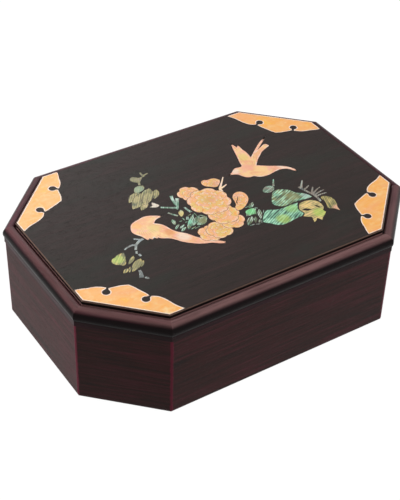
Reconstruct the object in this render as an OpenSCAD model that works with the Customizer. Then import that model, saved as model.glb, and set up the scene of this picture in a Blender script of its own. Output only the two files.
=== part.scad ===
// Eight-sided wooden box with a lift-off lid. The lid's top is inlaid with shell:
// a plate on each cut corner, two birds, a spray of blossoms, leaves and twigs.
// Millimetres, +Z up, the front long side faces -Y, origin at the centre of the underside.

/* [Body] */
// Outside length of the body
box_l = 267; // [250:1:290]
// Outside width of the body
box_w = 191; // [182:1:210]
// Height of the body walls
body_h = 64; // [50:1:90]
// Run of each cut corner along the sides
corner_run = 45; // [40:1:52]
// Thickness of the wall boards
wall_t = 8; // [7:0.5:10]
// Radius of the rounding along the foot of the walls
foot_r = 3; // [1:0.5:3.5]
// Run of the narrow flat that eases each upright corner
arris = 0.7; // [0.3:0.1:1.5]

/* [Floor] */
// Thickness of the floor board
floor_t = 5; // [4:0.5:8]
// Depth that the floor board is let into the walls
floor_let = 3; // [2:0.5:3.5]
// Thickness of the lining glued to the floor
lining_t = 1.5; // [1:0.25:3]

/* [Liner] */
// Thickness of the liner boards inside the walls
liner_t = 3; // [2:0.5:4]
// Height that the liner stands above the walls
liner_up = 4.5; // [3:0.5:5.5]
// Easing along the liner's top edges
liner_ease = 0.6; // [0.2:0.1:1]

/* [Lid] */
// Height of the closed lid above the walls
lid_h = 15; // [14:0.5:18]
// Play between the lid and the liner on each side
lid_clear = 0.4; // [0.2:0.1:0.8]
// Room between the liner's top and the lid board
lid_gap = 0.6; // [0.3:0.1:1]
// Overhang of the moulding beyond the walls
overhang = 1; // [0.5:0.25:2.5]
// Height that the panel stands above the moulding
panel_rise = 2.6; // [1.6:0.1:3.2]
// Radius of the bullnose on the moulding
bull_r = 5.6; // [4.8:0.1:6]
// Radius along the moulding's inner edge, beside the panel
inner_r = 1.8; // [0.8:0.1:2]
// Overhang of the moulding's fillet beyond the walls
fillet_out = 0.3; // [0:0.1:0.6]
// Width of the quirk between panel and moulding
quirk_w = 0.7; // [0.4:0.1:1]
// Depth of the quirk below the moulding's top
quirk_d = 2.4; // [2:0.1:3]
// Easing along the panel's top edge
panel_ease = 0.6; // [0.3:0.1:0.7]

/* [Inlay] */
// Thickness of the shell and of the veneer round it
shell_t = 0.8; // [0.5:0.1:1.2]
// Distance from the panel's edge to the corner plates
plate_margin = 0.9; // [0.8:0.1:4]
// Reach of a corner plate in from its cut corner
plate_reach = 21.6; // [15:0.1:26]
// Radius of the round hole in a corner plate's scroll
scroll_r = 2.7; // [1.5:0.1:3]
// Width of the scroll's slit where it leaves the plate
scroll_slit = 0.9; // [0.5:0.1:1.5]
// Length of the bird and blossom motif
motif_l = 173; // [120:1:180]
// Gap between neighbouring pieces of shell
shell_gap = 0.3; // [0.2:0.1:0.8]

/* [Hidden] */
$fn = 96;

// Sides of the box, counter-clockwise from the front
SIDES = ["front", "front_right", "right", "back_right", "back", "back_left", "left", "front_left"];
CUT_CORNERS = ["front_right", "back_right", "back_left", "front_left"];

box_h = body_h + lid_h;
panel_in = wall_t - lid_clear;              // panel's edge, in from the walls' outer faces
board_z = body_h + liner_up + lid_gap;      // underside of the lid board
veneer_z = box_h - shell_t;                 // seat of the shell
moulding_z = box_h - panel_rise;            // top of the moulding
inlay_in = panel_in + plate_margin;         // inlay's edge, in from the walls' outer faces
over = 2;                                   // how far cutters run past what they cut

motif_drawn = 173;                          // length at which the motif's points are given
motif_k = motif_l / motif_drawn;
chamfer_drawn = 56.6;                       // cut edge and reach at which the plate is given
reach_drawn = 21.6;

wood = [0.27, 0.19, 0.18];
edge_wood = [0.33, 0.20, 0.19];
panel_wood = [0.25, 0.22, 0.21];
felt = [0.35, 0.07, 0.09];
peach_shell = [0.99, 0.74, 0.50];
pink_shell = [0.96, 0.76, 0.66];
green_shell = [0.56, 0.70, 0.52];
olive_shell = [0.62, 0.62, 0.40];
grey_shell = [0.62, 0.66, 0.66];

// ---- plan of the box ----

// Corners of the box's plan, set out by o from the walls' outer faces
function plan(o) =
    let (x = box_l / 2 + o, y = box_w / 2 + o, run = corner_run + o * (2 - sqrt(2)))
    [[run - x, -y], [x - run, -y], [x, run - y], [x, y - run],
     [x - run, y], [run - x, y], [-x, y - run], [-x, run - y]];

// The same plan with each corner cut back by c along both of its sides
function eased_plan(o, c) =
    let (p = plan(o))
    [for (i = [0:7]) each
        let (before = p[(i + 7) % 8] - p[i], after = p[(i + 1) % 8] - p[i])
        [p[i] + before / norm(before) * c, p[i] + after / norm(after) * c]];

function place(side) = [for (i = [0:7]) if (SIDES[i] == side) i][0];
function side_start(o, side) = plan(o)[place(side)];
function side_end(o, side) = plan(o)[(place(side) + 1) % 8];
function side_length(o, side) = norm(side_end(o, side) - side_start(o, side));
function side_angle(side) =
    let (d = side_end(0, side) - side_start(0, side))
    atan2(d[1], d[0]);

// Mitred prism over one side, from o_in to o_out and from z0 to z1
module mitred(side, o_in, o_out, z0, z1) {
    translate([0, 0, z0])
        linear_extrude(z1 - z0)
            polygon([side_start(o_out, side), side_end(o_out, side),
                     side_end(o_in, side), side_start(o_in, side)]);
}

// Runs a profile along one side: its x is the distance out from o_run, its y is height
module run_along(side, o_run) {
    end = side_end(o_run, side);
    translate([end[0], end[1], 0])
        rotate([90, 0, side_angle(side) - 90])
            translate([0, 0, -3 * over])
                linear_extrude(side_length(o_run, side) + 6 * over)
                    children();
}

// Runs a profile along one side of the walls, mitred at both ends
module along(side, o_in, o_out) intersection() {
    mitred(side, o_in - over, o_out + over, -over, box_h + over);
    run_along(side, 0) children();
}

// ---- body ----

module wall_profile() {
    difference() {
        translate([-wall_t, 0]) square([wall_t, body_h]);
        translate([-wall_t - over, -over]) square([floor_let + over, floor_t + over]);
        difference() {
            translate([-foot_r, -over]) square([foot_r + over, foot_r + over]);
            translate([-foot_r, foot_r]) circle(foot_r);
        }
    }
}

module liner_profile() {
    difference() {
        translate([-wall_t - liner_t, floor_t])
            square([liner_t, body_h + liner_up - floor_t]);
        for (x = [-wall_t - liner_t, -wall_t])
            translate([x, body_h + liner_up])
                rotate(45)
                    square(liner_ease * sqrt(2), center = true);
    }
}

module wall(side) color(wood) intersection() {
    along(side, -wall_t, 0) wall_profile();
    linear_extrude(body_h) polygon(eased_plan(0, arris));
}

module liner(side) color(edge_wood)
    along(side, -wall_t - liner_t, -wall_t) liner_profile();

module floor_board() color(wood) linear_extrude(floor_t) polygon(plan(floor_let - wall_t));

module floor_lining() color(felt)
    translate([0, 0, floor_t])
        linear_extrude(lining_t)
            polygon(plan(-wall_t - liner_t));

// ---- lid ----

// Square moulding with a bullnose outside, a rounded inner edge and a quirk beside the panel
module moulding_profile() {
    bull_x = overhang - bull_r;
    bull_z = moulding_z - bull_r;
    inner_x = quirk_w - panel_in;
    difference() {
        intersection() {
            union() {
                translate([-panel_in, body_h])
                    square([panel_in + fillet_out, bull_z - body_h]);
                translate([-panel_in, bull_z - over])
                    square([panel_in + bull_x, bull_r + over]);
                translate([bull_x, bull_z]) circle(bull_r);
            }
            translate([-panel_in, body_h]) square([panel_in + overhang + over, lid_h]);
        }
        translate([-panel_in - over, moulding_z - quirk_d])
            square([quirk_w + over, quirk_d + over]);
        difference() {
            translate([inner_x - over, moulding_z - inner_r])
                square([inner_r + over, inner_r + over]);
            translate([inner_x + inner_r, moulding_z - inner_r]) circle(inner_r);
        }
    }
}

module moulding(side) color(edge_wood)
    along(side, -panel_in, overhang) moulding_profile();

module lid_board() color(panel_wood)
    translate([0, 0, board_z])
        linear_extrude(veneer_z - board_z)
            polygon(plan(-panel_in));

module lid_veneer() color(panel_wood)
    difference() {
        translate([0, 0, veneer_z])
            linear_extrude(shell_t)
                difference() {
                    polygon(plan(-panel_in));
                    inlay_area();
                }
        for (side = SIDES)
            translate([0, 0, box_h])
                run_along(side, -panel_in)
                    rotate(45)
                        square(panel_ease * sqrt(2), center = true);
    }

// ---- curves for the shell ----

function flat(p) = [p[0], p[1]];

// A point given as [x, y, 1] is a sharp corner of the outline
function slope(p, i) =
    let (n = len(p))
    p[i % n][2] == 1 ? [0, 0] : (flat(p[(i + 1) % n]) - flat(p[(i + n - 1) % n])) / 2;

function hermite(a, b, da, db, t) =
    (2 * t ^ 3 - 3 * t ^ 2 + 1) * a + (t ^ 3 - 2 * t ^ 2 + t) * da
    + (3 * t ^ 2 - 2 * t ^ 3) * b + (t ^ 3 - t ^ 2) * db;

// Closed smooth outline through the points
function outline(p, k = motif_k, steps = 4) =
    let (n = len(p))
    [for (i = [0:n - 1], s = [0:steps - 1])
        k * hermite(flat(p[i]), flat(p[(i + 1) % n]), slope(p, i), slope(p, i + 1), s / steps)];

// Open smooth line through the points
function open_slope(p, i) =
    p[min(i + 1, len(p) - 1)] - p[max(i - 1, 0)];

function smooth_line(p, steps = 4) =
    [for (i = [0:len(p) - 2], s = [0:steps - 1])
        hermite(p[i], p[i + 1], open_slope(p, i) / 2, open_slope(p, i + 1) / 2, s / steps),
     p[len(p) - 1]];

function unit(v) = v / norm(v);
function left_of(v) = [-v[1], v[0]];

// Outline of a twig: [points, width at its start, width at its end]
function twig(t) =
    let (q = smooth_line(t[0]), n = len(q) - 1,
         side = [for (i = [0:n])
             left_of(unit(q[min(i + 1, n)] - q[max(i - 1, 0)])) * (t[1] + (t[2] - t[1]) * i / n) / 2])
    [for (i = [0:n]) motif_k * (q[i] + side[i]),
     for (i = [n:-1:0]) motif_k * (q[i] - side[i])];

module twigs(list) {
    for (t = list) polygon(twig(t));
}

// Outline of a pointed leaf: [base, tip, width, bow to its left]
function leaf(l, gap = 0, steps = 7) =
    let (along = unit(l[1] - l[0]), up = left_of(along),
         a = l[0] * motif_k - along * gap, d = (l[1] - l[0]) * motif_k + 2 * along * gap,
         mid = function (t) a + d * t + up * l[3] * motif_k * sin(180 * t),
         half = function (t) (l[2] * motif_k / 2 + gap) * pow(sin(180 * pow(t, 0.85)), 0.8))
    [for (s = [0:steps]) mid(s / steps) + up * half(s / steps),
     for (s = [steps - 1:-1:1]) mid(s / steps) - up * half(s / steps)];

// Leaves that lie over one another, the uppermost first, with a gap round each
module leaf_spray(leaves) {
    for (i = [0:len(leaves) - 1])
        difference() {
            polygon(leaf(leaves[i]));
            for (j = [0:1:i - 1]) polygon(leaf(leaves[j], shell_gap));
        }
}

// Outline of an open blossom: [centre, radius, petals, angle of a notch, depth of the notches]
function blossom(b, gap = 0) =
    [for (a = [0:6:354])
        let (notch = pow(1 - abs(sin(b[2] * (a - b[3]) / 2)), 1.6),
             r = (b[1] * (1 - b[4] * notch)) * motif_k + gap)
        b[0] * motif_k + r * [cos(a), sin(a)]];

// ---- corner plates ----

// Inner edge of a plate: x runs along the cut corner, y is the distance in from it
plate_points = [
    [-39, 6], [-36.2, 8], [-33, 10], [-29, 11.8], [-25.5, 13.8], [-21.5, 15.1],
    [-17.6, 15.4, 1], [-16.4, 14.6, 1], [-15, 15.6, 1], [-12, 17.6], [-8.5, 19.8],
    [-4, 21.6, 1], [0, 20.2], [4, 18.3], [8.5, 16.3], [11, 14.8, 1],
    [12, 13.8, 1], [13.4, 14.5, 1], [17, 15.1], [21, 14.2], [25, 12.4],
    [29, 10.2], [33, 8.7], [36.2, 8], [39, 7.2, 1], [39, -4, 1], [-39, -4, 1]
];
// Each scroll: centre of its hole, then the notch that its slit runs to
plate_scrolls = [[[-16, 11], [-16.4, 15.4]], [[10.3, 10.4], [12.2, 14.6]]];

// Half length of the cut edge, to the ends of a plate's outline
plate_k = [side_length(-inlay_in, "front_right") / chamfer_drawn, plate_reach / reach_drawn];

function plate_point(p) = [p[0] * plate_k[0], p[1] * plate_k[1], p[2]];

module scroll(s) {
    hole = flat(plate_point(s[0]));
    notch = flat(plate_point(s[1]));
    across = left_of(unit(notch - hole));
    translate(hole) circle(scroll_r);
    polygon([hole + across * scroll_r * 0.8, notch + across * scroll_slit / 2,
             notch - across * scroll_slit / 2, hole - across * scroll_r * 0.8]);
}

module on_cut_corner(side)
    translate((side_start(-inlay_in, side) + side_end(-inlay_in, side)) / 2)
        rotate(side_angle(side))
            children();

module plate_outline() polygon(outline([for (p = plate_points) plate_point(p)], 1));

module plate_area(side) intersection() {
    polygon(plan(-inlay_in));
    on_cut_corner(side) difference() {
        plate_outline();
        for (s = plate_scrolls) scroll(s);
    }
}

// Cuts away what would come nearer to a corner plate than the gap
module clear_of_plate(side) difference() {
    children();
    on_cut_corner(side) translate([0, shell_gap]) plate_outline();
}

// ---- birds ----

flying_bird_points = [
    [30.4, 20.2, 1], [33.6, 21.2], [36.2, 23.2], [39.4, 25], [43, 24.4], [45.4, 25.3],
    [46.5, 29.4], [48.8, 36], [51.4, 44], [53.4, 50], [54.8, 53.6, 1], [55.3, 50.2],
    [55.8, 46.8, 1], [57, 48.4], [58.4, 49.6, 1], [58, 46], [57.8, 42.6], [58.2, 39],
    [57.9, 35], [57.3, 30.8, 1], [60.2, 33.2], [64.4, 36.6], [69.6, 40.7], [75.6, 44.9],
    [81.8, 47.8, 1], [76.8, 43.6], [71.6, 39.8], [67, 36.4, 1], [71.4, 38.4], [75.4, 40.2],
    [77.6, 39.2, 1], [78, 36.8, 1], [73.6, 35], [69.3, 33.2], [65, 29.8], [60.7, 26.4],
    [57.4, 23], [55, 20.2, 1], [58, 18], [62.2, 15.1], [66.4, 12.6], [70, 10.3],
    [73.1, 7.8], [75.2, 4.6], [76.4, 1], [75.9, -1, 1], [74.5, 1.4], [72.6, 4.4],
    [70, 6.2], [66.4, 7.2], [61.6, 6.7], [56, 5.7], [51, 6.2], [47.8, 7.8],
    [45.8, 9.9], [42.8, 10.1], [40, 11.7], [38.2, 14.6], [36.8, 17.4], [33.8, 19]
];

perched_bird_points = [
    [-36, 2.6, 1], [-39.6, 5.2], [-44, 7.7], [-48, 8.5], [-52.4, 7.7], [-56.6, 6.7],
    [-59.8, 4.8], [-62, 1.4], [-63.2, -2.6], [-62.3, -6], [-60.2, -9.4], [-59.2, -12.6],
    [-58.3, -15.8, 1], [-56.5, -14.2, 1], [-55.2, -16.5, 1], [-53.4, -15, 1], [-52, -17.1, 1],
    [-50.8, -16.4, 1], [-49.4, -18.4], [-45, -21], [-42, -24.5], [-39.2, -28.8], [-35, -33],
    [-31.2, -36], [-27, -38.2], [-22.8, -39.9], [-19.4, -42.6], [-16, -44.4],
    [-14.3, -43.5, 1], [-17.4, -40.6], [-20.6, -37.6], [-24.2, -34.4], [-28.4, -29.2],
    [-30.2, -25.8], [-32.6, -22], [-36, -18.2], [-38.3, -14.3], [-39.5, -10], [-40.7, -6.6],
    [-42.4, -4], [-45.3, -1.5, 1], [-42.7, 1], [-40, 2.1]
];

module flying_bird_area() clear_of_plate("back_right") polygon(outline(flying_bird_points));

module perched_bird_area() difference() {
    polygon(outline(perched_bird_points));
    polygon(blossom(left_flower, shell_gap));
    polygon(blossom(inner_left_flower, shell_gap));
}

// ---- blossoms ----

centre_flower = [[1, 0.6], 15.6, 8, -8, 0.13];
top_flower = [[-6.3, 15.8], 8.4, 5, 56, 0.2];
middle_flower = [[1.6, -17], 11.2, 6, 20, 0.14];
low_flower = [[2.6, -26.2], 9, 5, 100, 0.16];
inner_left_flower = [[-10.6, -30.4], 9.4, 5, 60, 0.16];
left_flower = [[-18, -30.6], 8.8, 5, 24, 0.16];

right_flower_points = [
    [17.6, -4.2], [20.4, -1.2], [23.9, -0.2], [26.9, -1.8], [28, -5.2], [27.3, -9],
    [25.4, -12.4], [22.2, -15.3], [18.9, -17.5], [15, -19], [12.2, -18], [12.8, -15],
    [15, -12.4], [16.4, -8.6]
];
right_flower_slit = [[[21.4, -4.8], [19.6, -7.6], [17.4, -9.6], [16.6, -11.6]], 0.4, 0.9];

bud_flower_points = [
    [7.8, 20.2], [8.8, 23.1], [11.4, 24.1], [14.2, 22.7, 1], [17, 22.9], [19.8, 21.6],
    [21.7, 18.4, 1], [20.2, 16.2], [18.4, 14.4], [15.8, 12.6, 1], [13.6, 13.1], [11, 15.3],
    [8.8, 17.2]
];

module right_flower_area() difference() {
    polygon(outline(right_flower_points));
    polygon(twig(right_flower_slit));
}

module centre_flower_area() difference() {
    polygon(blossom(centre_flower));
    polygon(outline(right_flower_outer()));
}

// The right flower's outline with room for a gap beyond it
function right_flower_outer() =
    let (c = [20.2, -9.4])
    [for (p = right_flower_points) c + (p - c) * (1 + shell_gap / 8)];

module top_flower_area() difference() {
    polygon(blossom(top_flower));
    polygon(blossom(centre_flower, shell_gap));
}

module bud_flower_area() polygon(outline(bud_flower_points));

module middle_flower_area() difference() {
    polygon(blossom(middle_flower));
    polygon(blossom(centre_flower, shell_gap));
    polygon(outline(right_flower_outer()));
}

module low_flower_area() difference() {
    polygon(blossom(low_flower));
    polygon(blossom(middle_flower, shell_gap));
    polygon(outline(right_flower_outer()));
}

module inner_left_flower_area() difference() {
    polygon(blossom(inner_left_flower));
    polygon(blossom(middle_flower, shell_gap));
    polygon(blossom(low_flower, shell_gap));
}

module left_flower_area() difference() {
    polygon(blossom(left_flower));
    polygon(blossom(inner_left_flower, shell_gap));
}

blossom_twigs = [
    [[[15, 6], [15.9, 9], [17.6, 11.4], [21.4, 15.4], [25.8, 20.4]], 2.6, 0.7],
    [[[17, 9.5], [19.6, 10.2], [22.8, 11.4]], 1.9, 0.8]
];

module blossom_twig_area() difference() {
    twigs(blossom_twigs);
    polygon(blossom(centre_flower, shell_gap));
}

// ---- leaves and twigs ----

upper_leaves = [
    [[-29, 40.6], [-38.8, 35.2], 6.4, -0.5],
    [[-27, 35.6], [-39.6, 19.6], 8.8, -0.4],
    [[-32.6, 33], [-49.6, 19.8], 9.6, 0.6],
    [[-35.6, 35.2], [-48.2, 27.6], 6.2, -0.4],
    [[-23.4, 31.8], [-30.4, 22.8], 4.8, 0.2],
    [[-36.4, 23], [-45.2, 15.6], 5.2, 0]
];

bud_leaf_points = [
    [-33.8, 50.4], [-32.8, 52.8], [-30.6, 53.6], [-28.4, 52.2], [-27, 50.6], [-23.8, 50.5, 1],
    [-26.2, 48], [-28.8, 45.6, 1], [-31.6, 46.6]
];
upper_twigs = [
    [[[-23.8, 50.4], [-21.4, 51.6], [-18.4, 52.3]], 1.8, 1.1],
    [[[-23, 51], [-23.1, 53.4], [-22.8, 55.8]], 1.8, 1.2],
    [[[-29.6, 45.8], [-30.4, 44], [-31, 42.5]], 1.9, 1.5]
];

spark_points = [
    [-38.4, 15.8], [-36.4, 14.5], [-33.6, 13.4], [-31.4, 14.6], [-32.4, 17], [-34, 20.2, 1],
    [-35.2, 18.6], [-35.2, 16.8, 1]
];
middle_twigs = [
    [[[-18.6, 19.8], [-19.8, 15.8], [-20.7, 12], [-21.3, 8.4]], 2.4, 1.3],
    [[[-16.2, 15], [-18.4, 11.8], [-21, 7.2], [-23.2, 3.8]], 2.8, 1],
    [[[-32, 12], [-28.4, 9.5], [-25.2, 7.4], [-22.4, 5.8]], 1.5, 1.9],
    [[[-30.8, 3.9], [-28.8, 0.4], [-26.7, -2.7]], 1.3, 1.5],
    [[[-17.7, 3.6], [-17.3, 0], [-16.6, -3.6]], 1.4, 2],
    [[[-21.6, -6.8], [-22.5, -8.2], [-23.5, -9.6]], 1.4, 1.7]
];
middle_leaf = [[-21.4, 2.2], [-25.2, -4.8], 3.6, 0];

fern_leaves = [
    [[-28.8, -19.4], [-16.4, -6], 3.4, 0],
    [[-32.2, -4.2], [-33.8, -10.4], 2.8, 0],
    [[-36.2, -15], [-30.8, -10.8], 1.8, 0.2],
    [[-33, -15.6], [-27.8, -13.4], 1.7, 0.2],
    [[-33.8, -19], [-28.4, -16.2], 2.4, 0.2],
    [[-24, -17.4], [-13.8, -9.6], 4, 0.3],
    [[-20.6, -18.6], [-10.2, -13], 7.4, 0.3]
];

round_leaf_points = [
    [-90.8, -23.8], [-89.2, -21.2], [-86.6, -20.2], [-83.4, -18.6], [-79, -18.6, 1],
    [-79.8, -21.8], [-81.4, -25.4], [-83.2, -29.2], [-85.8, -30.4], [-87.4, -28.6, 1],
    [-89.8, -26.9]
];
lower_leaves = [
    [[-72.4, -29.8], [-84, -39], 5.4, 0],
    [[-75, -25], [-82.4, -31.2], 2.8, 0.2],
    [[-72, -32.2], [-76.4, -37.6], 2.2, 0],
    [[-82.6, -33.6], [-86.2, -39], 1.7, 0],
    [[-84.8, -34.4], [-89.8, -37.6], 2.8, 0]
];

lower_twigs = [
    [[[-60.4, -12.2], [-64.6, -13.7], [-68.2, -16.4], [-70.6, -20.4]], 2, 1.6],
    [[[-68, -15.6], [-70.6, -14.7], [-73.4, -15.1], [-77, -16.2]], 1.8, 1.2],
    [[[-62.6, -12.4], [-64, -10.9], [-66, -9.4]], 1.8, 1.3],
    [[[-71, -21.6], [-72.1, -24.2]], 1.5, 1.3],
    [[[-71.2, -25.3], [-70.8, -27.6]], 1.9, 1.5],
    [[[-79.3, -39.8], [-80, -43], [-81.8, -47]], 1.7, 3]
];
lower_leaf = [[-80, -47.8], [-77.8, -50.4], 2.1, 0];

mint_leaf_points = [
    [15.3, -24.4], [16.4, -22.3], [19.4, -21.5], [22.6, -21.8], [24.4, -23.6, 1],
    [22.8, -25.6], [21, -29.2, 1], [19.2, -27.8], [16.4, -28], [13.4, -27.2, 1], [14.6, -25.8]
];
mint_leaves = [
    [[25.8, -25], [20.6, -35], 3.2, 0],
    [[16.8, -29.4], [8.8, -36.4], 4.2, 0],
    [[20.6, -20.3], [26.8, -16], 3.2, -0.3],
    [[18.9, -30.8], [14.8, -37], 2.2, 0],
    [[19.6, -35], [16.8, -38.6], 1.8, 0]
];

round_bud_points = [
    [40.2, -9.6], [42.4, -6.6], [46, -5.3], [49.4, -6.8], [49.8, -9.6], [46.6, -12.3],
    [42.8, -12.2]
];
round_bud_twigs = [[[[50.6, -7.4], [52.8, -4.2], [55.6, -0.4]], 1.7, 0.7]];

broad_leaf_high_points = [
    [40, -20.4], [43.2, -16.2], [45.6, -13.8], [50, -12.6], [54, -14.4], [57.6, -17.6],
    [59.4, -22.2], [62.8, -24.8], [65.4, -28.2], [66.5, -32, 1], [63, -32.3], [58, -31.4],
    [52, -31], [46, -31.4], [41.8, -30.6], [38.5, -27.6], [37.8, -24.4]
];

broad_leaf_low_points = [
    [20, -38.6], [22.8, -34.4], [26, -31.2], [28.8, -28.8], [31.4, -29.4], [36, -31.8],
    [42, -32.6], [48, -32.4], [53.4, -32.8, 1], [50.6, -36.6], [49, -40.4], [49.6, -44.8],
    [46.8, -46.8, 1], [42, -47], [36, -48], [30.4, -48.2], [26.4, -46.4], [23.4, -42.6]
];

curled_leaf_points = [
    [54, -34.4, 1], [58.6, -33.8], [63.6, -35.2], [66.4, -38.8], [67, -42.8], [66, -46.6],
    [63.8, -48.8], [64.2, -51.6, 1], [60.6, -54.2], [58, -56], [56.2, -58, 1], [55.4, -55.4],
    [54.6, -54, 1], [52.6, -55.8], [50, -57.2, 1], [51.4, -53.6], [52, -51.4], [49.4, -49.4],
    [47.6, -47.6, 1], [50.4, -45.2], [49.8, -40.6], [51.6, -37]
];
curled_leaf_eyes = [[[51.6, -41], [57, -44.4], 2.8, 0], [[61.8, -41.4], [64, -45.4], 1.6, 0.2]];

side_leaf_points = [
    [70.8, -36.6], [74, -35.6], [77.2, -38.6], [78, -43], [76.6, -47.8], [74.8, -50.6],
    [73.8, -55.2, 1], [71.9, -51.6], [69.8, -50.2, 1], [68.2, -48.2], [70, -44.4], [71.2, -40.6]
];

pine_twigs = [
    [[[68.6, -39.6], [69.2, -35], [68.9, -30], [67, -24.4], [65.4, -17.6]], 1.7, 1.9],
    [[[66.2, -20], [69, -16.4], [72.6, -12.4]], 1.9, 0.9],
    [[[67.6, -22], [70, -21.2], [72.8, -19.8]], 1.5, 0.8],
    [[[68.9, -28.4], [71.4, -26], [74.2, -22.8]], 1.8, 0.9],
    [[[69.6, -29.6], [73.4, -27.4], [78.4, -25.6]], 1.7, 0.8],
    [[[69.4, -31.6], [74, -30.2], [79, -29.6]], 1.6, 0.8],
    [[[69.4, -33.4], [73.6, -32.9], [78.2, -33.4]], 1.6, 0.8]
];

module upper_leaves_area() leaf_spray(upper_leaves);

module upper_twig_area() {
    polygon(outline(bud_leaf_points));
    twigs(upper_twigs);
}

module middle_twigs_area() {
    polygon(outline(spark_points));
    twigs(middle_twigs);
    polygon(leaf(middle_leaf));
}

module fern_leaves_area() leaf_spray(fern_leaves);

module lower_leaves_area() {
    polygon(outline(round_leaf_points));
    leaf_spray(lower_leaves);
}

module lower_twig_area() clear_of_plate("front_left") {
    twigs(lower_twigs);
    polygon(leaf(lower_leaf));
}

module mint_leaves_area() {
    polygon(outline(mint_leaf_points));
    leaf_spray(mint_leaves);
}

module round_bud_area() {
    polygon(outline(round_bud_points));
    twigs(round_bud_twigs);
}

module broad_leaf_high_area() polygon(outline(broad_leaf_high_points));

module broad_leaf_low_area() polygon(outline(broad_leaf_low_points));

module curled_leaf_area() difference() {
    polygon(outline(curled_leaf_points));
    for (eye = curled_leaf_eyes) polygon(leaf(eye));
}

module side_leaf_area() polygon(outline(side_leaf_points));

module pine_twigs_area() twigs(pine_twigs);

// Everything that the veneer is cut away for
module inlay_area() {
    for (side = CUT_CORNERS) plate_area(side);
    flying_bird_area();
    perched_bird_area();
    centre_flower_area();
    top_flower_area();
    right_flower_area();
    middle_flower_area();
    low_flower_area();
    inner_left_flower_area();
    left_flower_area();
    bud_flower_area();
    blossom_twig_area();
    upper_leaves_area();
    upper_twig_area();
    middle_twigs_area();
    fern_leaves_area();
    lower_leaves_area();
    lower_twig_area();
    mint_leaves_area();
    round_bud_area();
    broad_leaf_high_area();
    broad_leaf_low_area();
    curled_leaf_area();
    side_leaf_area();
    pine_twigs_area();
}

// A piece of shell, let into the veneer down to the lid board
module shell(tint) color(tint) translate([0, 0, veneer_z]) linear_extrude(shell_t) children();

// ---- nodes ----

floor_board();
floor_lining();
wall("front");  // wall_front
wall("front_right");  // wall_front_right
wall("right");  // wall_right
wall("back_right");  // wall_back_right
wall("back");  // wall_back
wall("back_left");  // wall_back_left
wall("left");  // wall_left
wall("front_left");  // wall_front_left
liner("front");  // liner_front
liner("front_right");  // liner_front_right
liner("right");  // liner_right
liner("back_right");  // liner_back_right
liner("back");  // liner_back
liner("back_left");  // liner_back_left
liner("left");  // liner_left
liner("front_left");  // liner_front_left
lid_board();
lid_veneer();
moulding("front");  // moulding_front
moulding("front_right");  // moulding_front_right
moulding("right");  // moulding_right
moulding("back_right");  // moulding_back_right
moulding("back");  // moulding_back
moulding("back_left");  // moulding_back_left
moulding("left");  // moulding_left
moulding("front_left");  // moulding_front_left
shell(peach_shell) plate_area("front_right");  // plate_front_right
shell(peach_shell) plate_area("back_right");  // plate_back_right
shell(peach_shell) plate_area("back_left");  // plate_back_left
shell(peach_shell) plate_area("front_left");  // plate_front_left
shell(pink_shell) flying_bird_area();  // flying_bird
shell(pink_shell) perched_bird_area();  // perched_bird
shell(peach_shell) centre_flower_area();  // blossom_centre
shell(peach_shell) top_flower_area();  // blossom_top
shell(peach_shell) right_flower_area();  // blossom_right
shell(peach_shell) middle_flower_area();  // blossom_middle
shell(peach_shell) low_flower_area();  // blossom_low
shell(peach_shell) inner_left_flower_area();  // blossom_inner_left
shell(peach_shell) left_flower_area();  // blossom_left
shell(peach_shell) bud_flower_area();  // blossom_bud
shell(pink_shell) blossom_twig_area();  // blossom_twig
shell(olive_shell) upper_leaves_area();  // upper_leaves
shell(olive_shell) upper_twig_area();  // upper_twig
shell(grey_shell) middle_twigs_area();  // middle_twigs
shell(green_shell) fern_leaves_area();  // fern_leaves
shell(olive_shell) lower_leaves_area();  // lower_leaves
shell(grey_shell) lower_twig_area();  // lower_twig
shell(green_shell) mint_leaves_area();  // mint_leaves
shell(green_shell) round_bud_area();  // round_bud
shell(green_shell) broad_leaf_high_area();  // broad_leaf_high
shell(green_shell) broad_leaf_low_area();  // broad_leaf_low
shell(olive_shell) curled_leaf_area();  // curled_leaf
shell(olive_shell) side_leaf_area();  // side_leaf
shell(grey_shell) pine_twigs_area();  // pine_twigs
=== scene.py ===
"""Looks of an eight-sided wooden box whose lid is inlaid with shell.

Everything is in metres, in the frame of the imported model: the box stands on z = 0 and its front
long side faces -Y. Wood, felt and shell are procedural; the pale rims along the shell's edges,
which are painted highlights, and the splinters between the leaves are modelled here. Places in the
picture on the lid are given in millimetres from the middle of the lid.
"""

import math

import bmesh
import bpy
from mathutils import Matrix, Vector


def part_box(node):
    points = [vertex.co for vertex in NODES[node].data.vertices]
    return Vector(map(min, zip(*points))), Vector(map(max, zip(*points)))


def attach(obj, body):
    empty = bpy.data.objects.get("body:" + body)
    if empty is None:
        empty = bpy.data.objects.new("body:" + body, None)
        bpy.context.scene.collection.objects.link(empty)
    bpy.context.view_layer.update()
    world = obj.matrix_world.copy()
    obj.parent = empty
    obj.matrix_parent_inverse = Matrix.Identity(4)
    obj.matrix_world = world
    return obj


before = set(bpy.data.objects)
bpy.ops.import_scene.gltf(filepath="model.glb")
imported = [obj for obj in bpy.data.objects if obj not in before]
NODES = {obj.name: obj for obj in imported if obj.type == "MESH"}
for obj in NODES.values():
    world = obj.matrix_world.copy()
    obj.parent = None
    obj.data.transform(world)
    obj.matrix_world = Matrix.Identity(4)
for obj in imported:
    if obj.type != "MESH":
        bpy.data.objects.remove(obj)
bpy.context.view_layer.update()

MM = 0.001
SIDES = ["front", "front_right", "right", "back_right", "back", "back_left", "left", "front_left"]
CUT_CORNERS = ["front_right", "back_right", "back_left", "front_left"]
SIDE_TURN = 45.0  # degrees from one side to the next, counter-clockwise from the front
LID_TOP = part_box("lid_veneer")[1].z
MOULDING_FOOT, MOULDING_TOP = (corner.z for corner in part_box("moulding_front"))


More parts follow.
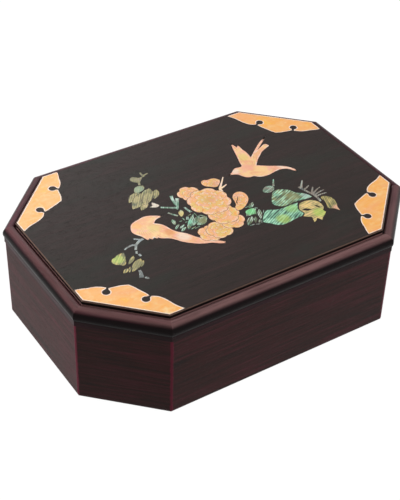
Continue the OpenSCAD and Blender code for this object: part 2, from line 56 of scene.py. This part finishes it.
def srgb(red, green, blue):
    """A colour as a screen shows it, 0 to 255, as the linear colour that a shader takes."""
    def linear(value):
        value /= 255
        return value / 12.92 if value <= 0.04045 else ((value + 0.055) / 1.055) ** 2.4
    return (linear(red), linear(green), linear(blue), 1.0)


# ---- materials written as expressions ----


class Signal:
    """A value, colour or vector on its way through a graph; arithmetic on it adds Math nodes."""

    def __init__(self, graph, socket):
        self.graph = graph
        self.socket = socket

    def math(self, operation, *values):
        return self.graph.node("ShaderNodeMath", {"operation": operation}, values)

    def __add__(self, other):
        return self.math("ADD", self, other)

    def __sub__(self, other):
        return self.math("SUBTRACT", self, other)

    def __rsub__(self, other):
        return self.math("SUBTRACT", other, self)

    def __mul__(self, other):
        return self.math("MULTIPLY", self, other)

    def __truediv__(self, other):
        return self.math("DIVIDE", self, other)

    def __pow__(self, other):
        return self.math("POWER", self, other)

    def __abs__(self):
        return self.math("ABSOLUTE", self)

    __radd__ = __add__
    __rmul__ = __mul__

    def sine(self):
        return self.math("SINE", self)

    def angle_over(self, run):
        """The direction, in radians, of a point this far up and run along."""
        return self.math("ARCTAN2", self, run)

    def at_least(self, other):
        return self.math("MAXIMUM", self, other)

    def rise(self, low, high):
        """0 at low, 1 at high and smooth between them; low may lie above high."""
        return self.graph.node(
            "ShaderNodeMapRange", {"interpolation_type": "SMOOTHSTEP"}, (self, low, high)
        )


def highest(signals):
    """The highest of some signals at each point, and 0 where there are none."""
    most = 0.0
    for signal in signals:
        most = signal.at_least(most)
    return most


def length(x, y):
    """How long the arrow is that runs x along and y up."""
    return (x * x + y * y) ** 0.5


class Graph:
    """The nodes of a material or of the world."""

    def __init__(self, owner):
        owner.use_nodes = True
        self.tree = owner.node_tree
        self.tree.nodes.clear()

    def node(self, kind, settings=None, inputs=(), output=0):
        """Any node: its settings first, then the values or signals of its sockets."""
        made = self.tree.nodes.new(kind)
        for name, value in (settings or {}).items():
            if name == "stops":
                self.set_stops(made.color_ramp.elements, value)
            else:
                setattr(made, name, value)
        pairs = inputs.items() if isinstance(inputs, dict) else enumerate(inputs)
        for key, value in pairs:
            self.feed(made.inputs[key], value)
        return Signal(self, made.outputs[output]) if made.outputs else None

    def set_stops(self, elements, stops):
        for spare in range(len(stops) - len(elements)):
            elements.new(0.5)
        for element, (position, colour) in zip(elements, stops):
            element.position = position
            element.color = colour

    def feed(self, socket, value):
        if isinstance(value, Signal):
            self.tree.links.new(value.socket, socket)
        else:
            socket.default_value = value

    def seen_directly(self):
        """1 for rays that show the setting itself: from the camera, mirrored or through glass."""
        rays = ("Is Camera Ray", "Is Glossy Ray", "Is Transmission Ray")
        return highest(self.node("ShaderNodeLightPath", output=ray) for ray in rays)


class Finish(Graph):
    """One material: a Principled shader, the nodes that feed it and its colour so far, tone."""

    def __init__(self, name, roughness, specular, coat=0.0, coat_roughness=0.1):
        self.material = bpy.data.materials.new(name)
        super().__init__(self.material)
        surface = self.node("ShaderNodeBsdfPrincipled", inputs={
            "Roughness": roughness, "Specular IOR Level": specular,
            "Coat Weight": coat, "Coat Roughness": coat_roughness,
        })
        self.node("ShaderNodeOutputMaterial", inputs=(surface,))
        self.inputs = surface.socket.node.inputs
        self.tone = None

    def place(self):
        """The point on the object, in metres."""
        return self.node("ShaderNodeTexCoord", output="Object")

    def above(self, level):
        """How far the point lies above a level, in millimetres."""
        return (self.split(self.place())[2] - level) / MM

    def on_lid(self):
        """Where the point lies in the picture on the lid, in millimetres along X and Y."""
        x, y, _ = self.split(self.place())
        return x / MM, y / MM

    def turned(self, vector, degrees):
        """The vector seen from axes turned by so many degrees about Z."""
        return self.node(
            "ShaderNodeVectorRotate",
            {"rotation_type": "Z_AXIS"},
            {"Vector": vector, "Angle": math.radians(-degrees)},
        )

    def stretched(self, vector, *scales):
        """The vector times a scale for each axis, which squeezes a pattern along it."""
        return self.node("ShaderNodeVectorMath", {"operation": "MULTIPLY"}, (vector, scales))

    def split(self, vector):
        parts = self.node("ShaderNodeSeparateXYZ", inputs=(vector,)).socket.node.outputs
        return [Signal(self, part) for part in parts]

    def noise(self, vector, scale=1.0, detail=3.0, rough=0.55, warp=0.0):
        return self.node("ShaderNodeTexNoise", inputs={
            "Vector": vector, "Scale": scale, "Detail": detail, "Roughness": rough,
            "Distortion": warp,
        })

    def mix(self, share, first, second):
        """The first colour at share 0, the second at share 1."""
        return self.node(
            "ShaderNodeMix", {"data_type": "RGBA"}, {0: share, 6: first, 7: second}, output=2
        )

    def ramp(self, value, stops):
        """A colour for each value, from stops of (position, colour)."""
        return self.node("ShaderNodeValToRGB", {"stops": stops}, (value,))

    def colour(self, tone):
        self.tone = tone
        self.feed(self.inputs["Base Color"], tone)

    def tint(self, share, tone):
        """Lays a colour over the one so far, by a share from 0 to 1."""
        self.colour(self.mix(share, self.tone, tone))

    def roughness(self, signal):
        self.feed(self.inputs["Roughness"], signal)

    def coat(self, weight, roughness):
        self.feed(self.inputs["Coat Weight"], weight)
        self.feed(self.inputs["Coat Roughness"], roughness)

    def relief(self, height, depth):
        """Bump of that depth in metres for heights from 0 to 1."""
        self.feed(self.inputs["Normal"], self.node(
            "ShaderNodeBump", inputs={"Strength": 1.0, "Distance": depth, "Height": height}
        ))


def paint(node_name, finish):
    """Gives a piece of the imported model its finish."""
    mesh = NODES[node_name].data
    mesh.materials.clear()
    mesh.materials.append(finish.material)


# ---- wood ----

# Linear tints by the strength of the grain: dark late wood, body, red early wood
WALL_TINTS = [(0.36, (0.008, 0.0042, 0.0035, 1)), (0.5, (0.026, 0.0074, 0.0066, 1)),
              (0.64, (0.056, 0.0115, 0.0165, 1))]
MOULDING_TINTS = [(0.34, (0.015, 0.004, 0.005, 1)), (0.5, (0.038, 0.007, 0.0105, 1)),
                  (0.66, (0.085, 0.014, 0.03, 1))]
PANEL_TINTS = [(0.3, (0.012, 0.0095, 0.007, 1)), (0.5, (0.022, 0.0135, 0.0115, 1)),
               (0.7, (0.038, 0.018, 0.0175, 1))]
LINER_TINTS = [(0.34, srgb(44, 26, 22)), (0.5, srgb(72, 40, 34)), (0.66, srgb(98, 52, 44))]
WORN_RED = srgb(112, 30, 54)
# A painted highlight, for the veneer's eased edge
EDGE_HIGHLIGHT_TINT = srgb(122, 96, 84)
# Painted light, for the tops of the mouldings and the shaded groove at the lid's edge
PAINTED_LIGHT_BROWN = srgb(150, 112, 110)
GREEN_BLACK = srgb(34, 38, 32)
# Painted shade, for under the bullnoses and the lid's edge above the mouldings
PAINTED_SHADE = srgb(8, 6, 6)
PORE = srgb(10, 7, 7)

SHEEN = 0.085  # of the varnish
DULL_SHEEN = 0.06
DULL_SIDES = ["left", "back_left"]  # walls whose varnish has gone dull

# How strong the painted highlight along the top of each moulding is, and its coat, from 0 to 1,
# side by side, and of those not named
TOP_HIGHLIGHT_AND_GLOSS = {"front": 0.72, "front_left": 0.4, "front_right": 0.38, "left": 0.27}
LITTLE_HIGHLIGHT_AND_GLOSS = 0.04
WORN_WIDTH = 1.6 * MM  # of the reddened strip along a wall's upright edge
WORN_THROUGH = 0.4 * MM  # of the part of that strip where the stain is gone


def wood(name, turn, tints, streak=(18, 520), roughness=0.4, specular=SHEEN):
    """Varnished wood whose grain runs along the horizontal direction at turn degrees.

    streak holds how many streaks fit in a metre along the grain and across it.
    """
    f = Finish(name, roughness, specular)
    along, across = streak
    grain = f.turned(f.place(), turn)
    broad = f.noise(f.stretched(grain, along, across, across), detail=4, rough=0.6, warp=0.3)
    fine = f.noise(f.stretched(grain, along * 4, across * 5, across * 5), detail=2)
    cloud = f.noise(f.stretched(grain, along, along * 4, along * 4), detail=2)
    pores = f.noise(f.stretched(grain, along * 14, across * 9, across * 9), detail=1)
    pore = pores.rise(0.6, 0.7)
    f.colour(f.ramp(broad * 0.56 + fine * 0.24 + cloud * 0.2, tints))
    f.tint(pore * 0.6, PORE)
    f.roughness(fine * 0.14 + pore * 0.12 + (roughness - 0.07))
    f.relief((1 - pore) * 0.7 + fine * 0.3, 0.06 * MM)
    return f


def wall_span(number):
    """Where the middle of a wall lies along its own direction, and half of its length."""
    turn = math.radians(number * SIDE_TURN)
    low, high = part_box("wall_" + SIDES[number])
    centre = (low + high) / 2
    middle = centre.x * math.cos(turn) + centre.y * math.sin(turn)
    if SIDES[number] not in CUT_CORNERS:
        return middle, max(high.x - low.x, high.y - low.y) / 2
    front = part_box("wall_front")
    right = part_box("wall_right")
    return middle, math.hypot(right[1].x - front[1].x, right[1].y + front[0].y) / 2


def wall_wood(number):
    """Wall wood, reddened along its two upright edges, where the stain is rubbed through."""
    side = SIDES[number]
    turn = number * SIDE_TURN
    middle, half = wall_span(number)
    sheen = DULL_SHEEN if side in DULL_SIDES else SHEEN
    f = wood("wall_wood_" + side, turn, WALL_TINTS, specular=sheen)
    run = f.split(f.turned(f.place(), turn))[0] - middle
    ragged = (f.noise(f.place(), 260, detail=3) - 0.5) * WORN_WIDTH
    worn = (abs(run) + ragged).rise(half - WORN_WIDTH, half - WORN_THROUGH)
    f.tint(worn * 0.55, WORN_RED)
    return f


def moulding_wood(number):
    """Red-brown wood, lightened along the top by a painted highlight and darkened under the
    bullnose by painted shade.
    """
    side = SIDES[number]
    turn = number * SIDE_TURN
    highlight_and_gloss = TOP_HIGHLIGHT_AND_GLOSS.get(side, LITTLE_HIGHLIGHT_AND_GLOSS)
    f = wood("moulding_wood_" + side, turn, MOULDING_TINTS, (12, 300), 0.3, DULL_SHEEN)
    over_top = f.above(MOULDING_TOP)
    # Painted highlight along the top, patchy, and set side by side
    top_highlight = over_top.rise(-2.8, -0.6)
    # Painted shade under the bullnose, a little lighter on the ledge at its foot
    under_shade = over_top.rise(-0.2, -3)
    ledge = f.above(MOULDING_FOOT).rise(4.2, 3.2)
    patchy = f.noise(f.stretched(f.turned(f.place(), turn), 30, 300, 300), detail=3)
    f.tint(top_highlight * patchy.rise(0, 0.6) * highlight_and_gloss, PAINTED_LIGHT_BROWN)
    f.tint(under_shade * (1 - ledge * 0.3) * 0.95, PAINTED_SHADE)
    f.coat((top_highlight * (0.3 * highlight_and_gloss)).at_least(ledge * 0.04), roughness=0.3)
    return f


def panel_veneer():
    """Near-black veneer with broad reddish and greenish clouds, and a painted highlight along its
    eased edge.
    """
    f = wood("panel_wood", 0, PANEL_TINTS, (14, 340), roughness=0.42, specular=0.11)
    cloud = f.noise(f.stretched(f.place(), 14, 34, 34), detail=3, rough=0.6)
    f.tint(cloud.rise(0.5, 0.66) * 0.5, GREEN_BLACK)
    # A painted highlight on the eased edge, just below the top
    eased_highlight = f.above(LID_TOP).rise(-0.03, -0.1)
    f.tint(eased_highlight * 0.5, EDGE_HIGHLIGHT_TINT)
    return f


def lid_board_wood():
    """The core of the lid: where its edge shows, painted shadow makes it black above the moulding
    and painted light makes it paler below.
    """
    f = wood("lid_board_wood", 0, LINER_TINTS, (10, 200), roughness=0.5)
    over_moulding = f.above(MOULDING_TOP)
    # Painted shadow where the edge stands above the moulding; painted light lower down, in the
    # shaded groove
    painted_shadow = over_moulding.rise(-0.6, 0)
    bare = over_moulding.rise(-3, -4)
    edge = f.mix(painted_shadow, f.mix(0.8, f.tone, PAINTED_LIGHT_BROWN), f.mix(0.97, f.tone, PAINTED_SHADE))
    f.colour(f.mix(bare, edge, f.tone))
    return f


def dress_wood():
    for number, side in enumerate(SIDES):
        liner = wood("liner_wood_" + side, number * SIDE_TURN, LINER_TINTS, roughness=0.5)
        paint("wall_" + side, wall_wood(number))
        paint("liner_" + side, liner)
        paint("moulding_" + side, moulding_wood(number))
    paint("floor_board", wood("floor_wood", 0, WALL_TINTS, roughness=0.5))
    paint("lid_board", lid_board_wood())
    paint("lid_veneer", panel_veneer())


# ---- felt ----


def dress_felt():
    f = Finish("felt", roughness=0.95, specular=0.2)
    fuzz = f.noise(f.place(), 1900, detail=4, rough=0.7)
    matted = f.noise(f.place(), 160, detail=3)
    f.colour(f.ramp(fuzz * 0.6 + matted * 0.4, [(0.3, srgb(78, 16, 22)), (0.7, srgb(128, 34, 40))]))
    f.relief(fuzz, 0.4 * MM)
    paint("floor_lining", f)


# ---- shell ----

AMBER = srgb(255, 188, 72)
ORANGE = srgb(254, 178, 84)
PEACH = srgb(253, 186, 108)
ROSE = srgb(250, 170, 120)
BLUSH = srgb(252, 190, 158)
CREAM = srgb(255, 212, 148)
STRAW = srgb(238, 208, 124)
HONEY = srgb(238, 210, 132)
SALMON = srgb(248, 184, 132)
PINK = srgb(250, 178, 148)
PEARL = srgb(255, 230, 210)
COPPER = srgb(232, 150, 84)
ENGRAVED = srgb(170, 92, 54)
MINT = srgb(150, 226, 190)
SPRING = srgb(130, 236, 150)
APPLE = srgb(160, 214, 124)
LIME = srgb(184, 212, 92)
TEAL = srgb(30, 66, 56)
SEA = srgb(98, 154, 124)
FOAM = srgb(132, 190, 158)
SAGE = srgb(138, 168, 136)
OLIVE = srgb(142, 136, 80)
MOSS = srgb(96, 100, 58)
BARK = srgb(48, 44, 32)
SAND = srgb(196, 178, 122)
ICE = srgb(222, 246, 232)
GLINT = srgb(184, 236, 204)
MIST = srgb(170, 196, 190)
STEEL = srgb(150, 166, 172)
SILVER = srgb(140, 142, 136)
SLATE = srgb(84, 92, 92)
DUN = srgb(138, 122, 108)

# Soft patches of colour on the birds: (centre, reach, tint)
FLYING_PATCHES = [((52, 34), 6, STRAW), ((47, 22), 6, PINK), ((56, 16), 7, CREAM),
                  ((65, 13), 6, PINK), ((41, 36), 5, ROSE), ((74, 7), 9, PEARL),
                  ((37, 22), 5, PEARL), ((80, 47), 8, PEARL)]
PERCHED_PATCHES = [((-57, 2), 5, PEACH), ((-48, -6), 6, HONEY), ((-41, -15), 5, COPPER),
                   ((-35, -24), 7, PEARL), ((-22, -38), 9, BLUSH)]

# Each blossom: (centre, radius, how many petals, turn in degrees, lean of its petals)
BLOSSOMS = {
    "centre": ((1, 0.6), 15.6, 8, -8, (2, 2)),
    "top": ((-6.3, 15.8), 8.4, 5, 56, (2, -3)),
    "right": ((21, -8), 9.4, 5, 30, (-3, 0)),
    "middle": ((1.6, -17), 11.2, 6, 20, (-2, 6)),
    "low": ((2.6, -26.2), 9, 5, 100, (-2, 4)),
    "inner_left": ((-10.6, -30.4), 9.4, 5, 60, (3, 3)),
    "left": ((-18, -30.6), 8.8, 5, 24, (4, 1)),
    "bud": ((14, 17.6), 7, 5, 113, (2, -2)),
}

# How much of each corner plate turns pink, from 0 to 1
ROSY = {"front_right": 0.4, "back_right": 1.0, "back_left": 0.2, "front_left": 0.25}


def nacre(name, tints, scale):
    """Polished shell: clouds of its tints with finer flecks of the last, and a clear coat."""
    f = Finish(name, roughness=0.3, specular=0.3, coat=0.12, coat_roughness=0.12)
    cloud = f.noise(f.place(), scale, detail=3, warp=0.6)
    fleck = f.noise(f.place(), scale * 5, detail=3, rough=0.65)
    last = len(tints) - 1
    f.colour(f.ramp(cloud, [(0.32 + 0.36 * i / last, tint) for i, tint in enumerate(tints)]))
    f.tint(fleck.rise(0.52, 0.68) * 0.4, tints[last])
    f.relief(fleck, 0.04 * MM)
    return f


def add_patches(f, patches):
    """Lays soft patches over the colour so far, and returns where they lie."""
    x, y = f.on_lid()
    covered = []
    for centre, reach, tint in patches:
        near = 1 - length(x - centre[0], y - centre[1]).rise(reach * 0.4, reach)
        f.tint(near * 0.75, tint)
        covered.append(near)
    return highest(covered)


def plate_shell(name, rosy):
    """Orange shell for a corner, partly pink, under a pale veil."""
    f = nacre(name, [AMBER, ORANGE, PEACH, ORANGE, CREAM], 55)
    pink = f.noise(f.stretched(f.place(), 26, 60, 1), detail=2).rise(0.64 - rosy * 0.3, 0.76)
    veil = f.noise(f.stretched(f.place(), 60, 320, 1), detail=2).rise(0.5, 0.8)
    f.tint(pink * 0.75, ROSE)
    f.tint(veil * 0.4, CREAM)
    return f


def bird_shell(name, shoulder, feathers, patches):
    """Pink shell with feather lines that fan out from the shoulder."""
    f = nacre(name, [PINK, SALMON, CREAM, BLUSH], 110)
    add_patches(f, patches)
    x, y = f.on_lid()
    x = x - shoulder[0]
    y = y - shoulder[1]
    away = length(x, y)
    line = abs((y.angle_over(x) * feathers).sine()) * away / feathers
    engraved = (1 - line.rise(0.06, 0.3)) * away.rise(6, 12)
    worn = f.noise(f.place(), 180, detail=2).rise(0.42, 0.62)
    f.tint(engraved * worn * 0.4, ENGRAVED)
    return f


def blossom_shell(name, centre, radius, petals, turn, lean):
    """Peach shell engraved as an open blossom of three rings of petals.

    The rings move by lean towards the heart, as in a flower seen from one side.
    """
    f = nacre(name, [ORANGE, STRAW, PEACH, BLUSH, PEACH], 130)
    x, y = f.on_lid()
    wander = f.noise(f.place(), 150, detail=3, rough=0.65) - 0.5
    cuts = []
    highlight_lips = []
    # Each ring: (its share of the radius, how deep its petals are cut, the turn of its first)
    rings = [(0.98, 0.17, turn), (0.66, 0.24, turn + 180 / petals), (0.36, 0.34, turn)]
    for share, depth, start in rings:
        right = x - (centre[0] + lean[0] * (1 - share))
        up = y - (centre[1] + lean[1] * (1 - share))
        away = length(right, up) + wander * (radius * 0.5 * (1.2 - share))
        angle = up.angle_over(right) + wander * 0.5
        wave = abs(((angle - math.radians(start)) * (petals / 2)).sine())
        ruffle = (angle * (petals * 3)).sine() * (0.035 * radius)
        edge = (wave ** 0.6 * depth + (1 - depth)) * (share * radius) + ruffle
        beyond = away - edge
        # A line along the petals' edge, and one between each two petals
        ring = 1 - abs(beyond).rise(0.06, 0.3)
        notch = 1 - (wave * away / (petals / 2)).rise(0.05, 0.24)
        notch = notch * away.rise(share * radius * 0.6, share * radius * 0.8)
        notch = notch * (1 - beyond.rise(-0.1, 0.1))
        cuts.append(ring.at_least(notch))
        # A painted highlight: a pale lip just inside the edge
        highlight_lip = beyond.rise(-radius * 0.16, -0.3) * (1 - beyond.rise(-0.25, -0.05))
        highlight_lips.append(highlight_lip * wave.rise(0.25, 0.7))
    veins = abs((angle * (petals * 4.5)).sine()) * away / (petals * 4.5)
    vein = (1 - veins.rise(0.02, 0.14)) * 0.3
    f.tint(highest(highlight_lips) * 0.7, PEARL)
    f.tint((highest(cuts) * 0.6).at_least(vein), ENGRAVED)
    return f


def leaf_shell(name, tints, grain, patches=(), pitch=1.3, dark=TEAL, pale=ICE, strength=0.7):
    """Green shell with fine dark and pale bands along grain degrees, pitch millimetres apart."""
    f = nacre(name, tints, 130)
    covered = add_patches(f, patches)
    along = f.turned(f.place(), grain)
    across = f.split(along)[1] / MM
    wander = f.noise(f.stretched(along, 50, 240, 1), detail=2)
    wave = ((across / pitch + wander * 1.8) * (2 * math.pi)).sine()
    broken = f.noise(f.stretched(along, 130, 420, 1), detail=1) - 0.5
    band = wave * 0.45 + broken * 3
    hold = (1 - covered * 0.6) * strength
    f.tint(band.rise(-0.1, -0.6) * hold, dark)
    f.tint(band.rise(0.15, 0.6) * hold, pale)
    return f


def paint_leaves(node_name, tints, grain, **bands):
    paint(node_name, leaf_shell(node_name + "_shell", tints, grain, **bands))


def dress_pale_shell():
    for corner, rosy in ROSY.items():
        paint("plate_" + corner, plate_shell("plate_shell_" + corner, rosy))
    paint("flying_bird", bird_shell("flying_bird_shell", (50, 14), 24, FLYING_PATCHES))
    paint("perched_bird", bird_shell("perched_bird_shell", (-54, 6), 30, PERCHED_PATCHES))
    for part, drawing in BLOSSOMS.items():
        paint("blossom_" + part, blossom_shell("blossom_shell_" + part, *drawing))
    paint("blossom_twig", nacre("blossom_twig_shell", [BLUSH, PEARL, CREAM], 160))


def dress_green_shell():
    paint_leaves("upper_leaves", [MOSS, OLIVE, SAND], 52, pitch=1.6, dark=BARK, pale=SAND,
                 strength=0.6, patches=[((-34, 38), 6, SAGE), ((-51, 22), 4, SAND)])
    paint_leaves("upper_twig", [MOSS, OLIVE, DUN], 60, dark=BARK, pale=DUN, strength=0.4)
    paint_leaves("middle_twigs", [DUN, SEA, SILVER], 60, dark=BARK, strength=0.5,
                 patches=[((-34, 16), 5, PEARL), ((-18, 16), 4, ICE), ((-23, -2), 5, STRAW)])
    paint_leaves("fern_leaves", [MOSS, SEA, OLIVE], 40, pitch=1.0, strength=0.75,
                 patches=[((-15, -16), 5, OLIVE), ((-24, -12), 4, MINT)])
    paint_leaves("lower_leaves", [OLIVE, MOSS, STRAW], 40, pitch=1.6, dark=BARK, pale=STRAW,
                 strength=0.6, patches=[((-86, -23), 6, LIME), ((-77, -33), 8, OLIVE)])
    paint_leaves("lower_twig", [SLATE, SILVER, STEEL], 30, dark=SLATE, strength=0.4)
    paint_leaves("mint_leaves", [SEA, MOSS, SILVER], 40, dark=BARK, strength=0.65,
                 patches=[((19, -24), 6, SPRING)])
    paint_leaves("round_bud", [SEA, DUN, MINT], 20, strength=0.5)
    paint_leaves("broad_leaf_high", [SEA, OLIVE, FOAM], 22, pitch=1.7, pale=GLINT,
                 strength=0.95, patches=[((55, -24), 7, OLIVE), ((64, -29), 5, MIST)])
    paint_leaves("broad_leaf_low", [SEA, FOAM, SEA], 27, pitch=1.7, pale=GLINT,
                 strength=0.95, patches=[((34, -43), 7, LIME), ((46, -36), 7, APPLE)])
    paint_leaves("curled_leaf", [OLIVE, SAND, STRAW], 5, pitch=1.8, dark=MOSS, pale=CREAM,
                 strength=0.6, patches=[((60, -50), 7, LIME)])
    paint_leaves("side_leaf", [MOSS, OLIVE, SAND], 70, dark=BARK, pale=STRAW, strength=0.6,
                 patches=[((74, -52), 5, BLUSH)])
    paint_leaves("pine_twigs", [SLATE, DUN, SILVER], 50, dark=BARK, strength=0.35)


# ---- rims of painted highlight and splinters of shell, modelled here ----

PROUD = 0.03 * MM  # how far they stand above the panel
SAME_POINT = 0.001 * MM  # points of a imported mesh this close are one
LEVEL = 0.01 * MM  # a face this close to the panel's height lies in it

# Each splinter: (one end, other end, width)
FERN_SLIVERS = [((-15.4, -5.4), (-15.5, -9.5), 0.8), ((-13.7, -9.5), (-10.8, -12.1), 0.8),
                ((-25.6, -6.0), (-25.2, -9.5), 0.9), ((-26.5, -11.9), (-24.1, -11.1), 0.8),
                ((-27.2, -20.3), (-22.8, -19.2), 0.9), ((-24.3, -20.9), (-20.0, -20.3), 0.7),
                ((-29.6, -8.9), (-27.1, -8.7), 0.8), ((-21.0, -6.2), (-17.7, -5.4), 0.7)]
SPRAY_SLIVERS = [((18.4, -18.9), (21.0, -18.5), 0.8), ((24.2, -21.6), (25.7, -23.8), 0.8),
                 ((28.3, -27.2), (25.5, -30.7), 0.5), ((9.4, -37.5), (13.6, -37.7), 0.8),
                 ((14.0, -38.3), (17.0, -39.4), 0.7), ((20.4, -35.9), (18.3, -39.4), 0.4)]


def add_object(name, bm, material):
    mesh = bpy.data.meshes.new(name)
    bm.to_mesh(mesh)
    bm.free()
    mesh.materials.append(material)
    piece = bpy.data.objects.new(name, mesh)
    bpy.context.scene.collection.objects.link(piece)
    return piece


def lay_in_lid(name, bm, finish):
    """Thickens flat faces at the panel's height into a piece that moves with the lid."""
    raised = bmesh.ops.extrude_face_region(bm, geom=bm.faces[:])["geom"]
    lifted = [item for item in raised if isinstance(item, bmesh.types.BMVert)]
    bmesh.ops.translate(bm, verts=lifted, vec=(0, 0, PROUD))
    bmesh.ops.recalc_face_normals(bm, faces=bm.faces[:])
    piece = add_object(name, bm, finish.material)
    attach(piece, "lid")


def highlight_rim(node_name, width, finish):
    """A pale band along the edge of a piece of shell: a painted highlight where its polish turns
    over.
    """
    bm = bmesh.new()
    bm.from_mesh(NODES[node_name].data)
    bmesh.ops.remove_doubles(bm, verts=bm.verts, dist=SAME_POINT)
    under = [face for face in bm.faces if min(v.co.z for v in face.verts) < LID_TOP - LEVEL]
    bmesh.ops.delete(bm, geom=under, context="FACES")
    band = set(bmesh.ops.inset_region(
        bm, faces=bm.faces[:], thickness=width, use_even_offset=True, use_boundary=True
    )["faces"])
    inner = [face for face in bm.faces if face not in band]
    bmesh.ops.delete(bm, geom=inner, context="FACES")
    lay_in_lid(node_name + "_rim", bm, finish)


def make_highlight_rims():
    # Pale pieces along the edges of the shell: painted highlights
    plate_highlight = nacre("plate_highlight_rim_shell", [BLUSH, PEARL, PEARL], 200)
    bird_highlight = nacre("bird_highlight_rim_shell", [PINK, BLUSH, PEARL], 200)
    blossom_highlight = nacre("blossom_highlight_rim_shell", [PEACH, BLUSH, CREAM], 200)
    for corner in CUT_CORNERS:
        highlight_rim("plate_" + corner, 0.7 * MM, plate_highlight)
    for bird in ["flying_bird", "perched_bird"]:
        highlight_rim(bird, 0.8 * MM, bird_highlight)
    for part in BLOSSOMS:
        highlight_rim("blossom_" + part, 0.4 * MM, blossom_highlight)


def slivers(name, pieces, finish):
    """Narrow splinters of shell let into the panel, pointed at both ends."""
    bm = bmesh.new()
    for first, last, width in pieces:
        run = (Vector(last) - Vector(first)) * MM
        middle = (Vector(first) + Vector(last)) * MM / 2
        place = (
            Matrix.Translation((middle.x, middle.y, LID_TOP))
            @ Matrix.Rotation(math.atan2(run.y, run.x), 4, "Z")
            @ Matrix.Diagonal((run.length / 2, width * MM / 2, 1, 1))
        )
        bmesh.ops.create_circle(bm, cap_ends=True, segments=12, radius=1, matrix=place)
    lay_in_lid(name, bm, finish)


def make_slivers():
    fern = leaf_shell(
        "fern_sliver_shell", [MOSS, SEA, OLIVE], 70, pitch=1.0, dark=BARK, strength=0.5)
    spray = leaf_shell("spray_sliver_shell", [SEA, SILVER, FOAM], 30, pitch=1.0, strength=0.5)
    slivers("fern_slivers", FERN_SLIVERS, fern)
    slivers("spray_slivers", SPRAY_SLIVERS, spray)


# ---- setting ----

WHITE = (1, 1, 1, 1)
WORLD_LIGHT = 0.25
WORLD_SHOWN = 1.03
FLOOR_REACH = 6  # from its middle to its edge
FLOOR_DROP = 0.2 * MM  # keeps the floor just clear of the underside
FLOOR_GLOW = 1.15
FLOOR_GLOW_SHARE = 0.86  # the rest of what the camera sees there is light and shadow on paper
PAPER = (0.35, 0.35, 0.35, 1)

CAMERA_ANGLES = (-33.654, 38.41, 1.61)  # azimuth, elevation and roll, in degrees
# The middle of the box's foot, from the camera: to its right, up and away
CAMERA_OFFSETS = (0.004125, -0.02835, 0.89625)
SENSOR_WIDTH = 36
LENS = 87.05

# Square soft lamps aimed at the middle of the box: (place, size, watts, seen in reflections)
LAMPS = {
    "left_lamp": ((-0.94, 0.86, 0.27), 0.9, 32, False),
    "front_lamp": ((0.58, -0.98, 0.65), 0.9, 10, False),
    "back_softbox": ((0.18, 1.05, 0.75), 0.7, 4, True),
}


def set_camera():
    """The camera of the main view, given by its angles and where the box lies in its frame."""
    azimuth, elevation, roll = (math.radians(angle) for angle in CAMERA_ANGLES)
    right_by, up_by, away_by = CAMERA_OFFSETS
    back = Vector((
        math.sin(azimuth) * math.cos(elevation),
        -math.cos(azimuth) * math.cos(elevation),
        math.sin(elevation),
    ))
    level = Vector((0, 0, 1)).cross(back).normalized()
    rise = back.cross(level)
    right = math.cos(roll) * level + math.sin(roll) * rise
    up = math.cos(roll) * rise - math.sin(roll) * level
    centre = back * away_by - right * right_by - up * up_by
    lens = bpy.data.cameras.new("camera")
    lens.sensor_width = SENSOR_WIDTH
    lens.lens = LENS
    camera = bpy.data.objects.new("camera", lens)
    for column, axis in enumerate((right, up, back, centre)):
        for row in range(3):
            camera.matrix_world[row][column] = axis[row]
    bpy.context.scene.collection.objects.link(camera)
    bpy.context.scene.camera = camera


def set_world():
    """A dim even light from all round, seen as white."""
    world = bpy.data.worlds.new("studio")
    bpy.context.scene.world = world
    sky = Graph(world)
    lit = sky.node("ShaderNodeBackground", inputs={"Color": WHITE, "Strength": WORLD_LIGHT})
    shown = sky.node("ShaderNodeBackground", inputs={"Color": WHITE, "Strength": WORLD_SHOWN})
    both = sky.node("ShaderNodeMixShader", inputs=(sky.seen_directly(), lit, shown))
    sky.node("ShaderNodeOutputWorld", inputs=(both,))


def set_floor():
    """A plain floor: nearly white of its own for the camera, and it still takes shadow."""
    material = bpy.data.materials.new("floor_paper")
    sheet = Graph(material)
    paper = sheet.node("ShaderNodeBsdfDiffuse", inputs={"Color": PAPER})
    glow = sheet.node("ShaderNodeEmission", inputs={"Color": WHITE, "Strength": FLOOR_GLOW})
    share = sheet.seen_directly() * FLOOR_GLOW_SHARE
    both = sheet.node("ShaderNodeMixShader", inputs=(share, paper, glow))
    sheet.node("ShaderNodeOutputMaterial", inputs=(both,))
    bm = bmesh.new()
    bmesh.ops.create_grid(
        bm, x_segments=1, y_segments=1, size=FLOOR_REACH,
        matrix=Matrix.Translation((0, 0, -FLOOR_DROP)),
    )
    add_object("floor", bm, material)


def set_lamps():
    middle = Vector((0, 0, LID_TOP / 2))
    for name, (place, size, power, mirrored) in LAMPS.items():
        light = bpy.data.lights.new(name, "AREA")
        light.size = size
        light.energy = power
        lamp = bpy.data.objects.new(name, light)
        lamp.location = place
        lamp.rotation_euler = (middle - Vector(place)).to_track_quat("-Z", "Y").to_euler()
        lamp.visible_glossy = mirrored
        bpy.context.scene.collection.objects.link(lamp)


set_camera()
set_world()
set_floor()
set_lamps()
bpy.context.scene.view_settings.view_transform = "Standard"
dress_wood()
dress_felt()
dress_pale_shell()
dress_green_shell()
make_highlight_rims()
make_slivers()
